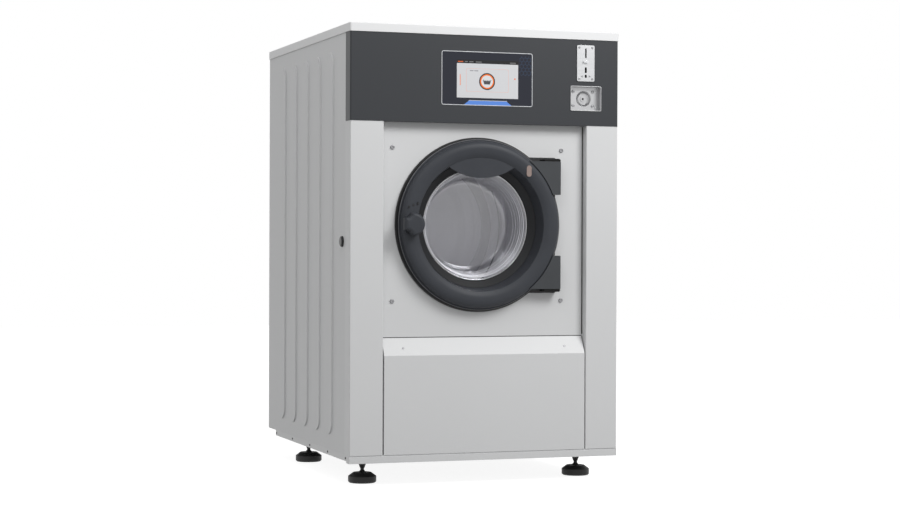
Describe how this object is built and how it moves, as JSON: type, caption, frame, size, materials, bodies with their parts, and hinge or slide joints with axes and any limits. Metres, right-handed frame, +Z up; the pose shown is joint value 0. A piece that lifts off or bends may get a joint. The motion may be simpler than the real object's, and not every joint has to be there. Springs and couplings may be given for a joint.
{
  "type": "coin-operated washing machine",
  "caption": "Free-standing front-loading washer-extractor with a round hinged door, knob latch, touch screen, coin slot and locked coin drawer, on levelling feet.",
  "frame": {"origin": "on the floor under the middle of the machine", "axes": "+Z up, the door faces -Y, +X to the right seen from the front"},
  "size_m": [0.931, 1.1646, 1.476],
  "materials": {
    "header_grey": "satin powder coat",
    "panel_white": "satin powder coat",
    "side_grey": "satin powder coat",
    "lid_white": "satin powder coat",
    "galvanised": "zinc coated sheet",
    "black_steel": "black paint",
    "stainless": "brushed",
    "polished_steel": "polished",
    "cast_aluminium": "as cast",
    "cast_iron_grey": "machined casting",
    "hinge_grey": "satin paint",
    "ring_plastic": "fine moulded",
    "black_plastic": "moulded",
    "gloss_black": "gloss",
    "beige_plastic": "translucent",
    "box_plastic": "moulded",
    "window_glass": "clear",
    "screen_glass": "glass over display",
    "gasket_rubber": "moulded",
    "black_rubber": "moulded"
  },
  "bodies": {
    "cabinet": {"base_frame": "panel_white", "left_front_post": "panel_white", "right_front_post": "panel_white", "left_side_panel": "side_grey", "right_side_panel": "side_grey", "rear_panel": "galvanised", "rear_access_cover": "galvanised", "top_cover": "lid_white", "header_panel": "header_grey", "door_panel": "panel_white", "lower_cover": "panel_white", "foot_lock_nuts": "black_steel", "front_screws": "stainless", "black_screws": "black_steel", "screen_frame": "polished_steel", "touch_screen": "screen_glass", "coin_plate": "stainless", "coin_acceptor": "black_plastic", "coin_box_frame": "stainless", "door_surround": "black_plastic", "hinge_brackets": "stainless", "hinge_pins": "stainless", "door_lock": "black_plastic", "control_box": "box_plastic", "inlet_valves": "box_plastic", "fill_hose": "black_rubber", "mains_gland": "black_plastic", "drain_valve": "box_plastic", "damper_cylinders": "black_steel"},
    "door": {"door_ring": "ring_plastic", "door_back_ring": "black_plastic", "door_trim_ring": "gloss_black", "door_glass": "window_glass", "door_visor": "ring_plastic", "door_indicator": "beige_plastic", "hinge_arms": "hinge_grey"},
    "door_handle": {"door_knob": "ring_plastic", "latch_hook": "stainless"},
    "tub": {"outer_tub": "stainless", "tub_back": "cast_iron_grey", "shaft_bearings": "polished_steel", "tub_gasket": "gasket_rubber", "motor_body": "cast_aluminium", "drive_belt": "black_rubber", "damper_rods": "polished_steel", "springs": "black_steel", "drain_hose": "black_rubber"},
    "drum": {"drum_shell": "stainless", "drum_lifters": "stainless", "drum_spider": "cast_aluminium", "drum_pulley": "cast_iron_grey"},
    "rotor": {"motor_rotor": "polished_steel"},
    "drawer": {"coin_drawer": "stainless"},
    "drawer_lock": {"coin_lock": "polished_steel"},
    "return_lever": {"coin_return_lever": "polished_steel"},
    "door_release": {"release_plug": "gloss_black"},
    "front_left_foot": {"foot_front_left": "black_rubber"},
    "front_right_foot": {"foot_front_right": "black_rubber"},
    "rear_left_foot": {"foot_rear_left": "black_rubber"},
    "rear_right_foot": {"foot_rear_right": "black_rubber"}
  },
  "joints": [
    {"name": "door_hinge", "type": "hinge", "parent": "cabinet", "child": "door", "pos_m": [0.246, -0.53, 0.837], "axis": [0, 0, 1], "range_deg": [0, 130]},
    {"name": "door_handle_turn", "type": "hinge", "parent": "door", "child": "door_handle", "pos_m": [-0.26, -0.6, 0.837], "axis": [0, 1, 0], "range_deg": [0, 90]},
    {"name": "tub_bounce", "type": "slide", "parent": "cabinet", "child": "tub", "axis": [0, 0, 1], "range_m": [-0.008, 0.008], "stiffness_N_per_m": 100000, "springref_m": 0.0138, "deforming": ["springs", "drain_hose"]},
    {"name": "drum_spin", "type": "hinge", "parent": "tub", "child": "drum", "pos_m": [-0.02, 0, 0.837], "axis": [0, 1, 0], "continuous": true},
    {"name": "rotor_spin", "type": "hinge", "parent": "tub", "child": "rotor", "pos_m": [0.13, 0.1, 0.385], "axis": [0, 1, 0], "continuous": true},
    {"name": "drawer_slide", "type": "slide", "parent": "cabinet", "child": "drawer", "axis": [0, -1, 0], "range_m": [0, 0.13]},
    {"name": "drawer_lock_turn", "type": "hinge", "parent": "drawer", "child": "drawer_lock", "pos_m": [0.3455, -0.49, 1.255], "axis": [0, 1, 0], "range_deg": [0, 90]},
    {"name": "return_lever_turn", "type": "hinge", "parent": "cabinet", "child": "return_lever", "pos_m": [0.348, -0.535, 1.3745], "axis": [0, 1, 0], "range_deg": [-30, 0], "stiffness_Nm_per_rad": 0.02},
    {"name": "release_pull", "type": "slide", "parent": "cabinet", "child": "door_release", "axis": [-1, 0, 0], "range_m": [0, 0.012], "stiffness_N_per_m": 300},
    {"name": "front_left_foot_height", "type": "slide", "parent": "cabinet", "child": "front_left_foot", "axis": [0, 0, 1], "range_m": [-0.015, 0.005]},
    {"name": "front_right_foot_height", "type": "slide", "parent": "cabinet", "child": "front_right_foot", "axis": [0, 0, 1], "range_m": [-0.015, 0.005]},
    {"name": "rear_left_foot_height", "type": "slide", "parent": "cabinet", "child": "rear_left_foot", "axis": [0, 0, 1], "range_m": [-0.015, 0.005]},
    {"name": "rear_right_foot_height", "type": "slide", "parent": "cabinet", "child": "rear_right_foot", "axis": [0, 0, 1], "range_m": [-0.015, 0.005]}
  ],
  "couplings": [
    {"joint": "rotor_spin", "follows": "drum_spin", "ratio": 5}
  ]
}
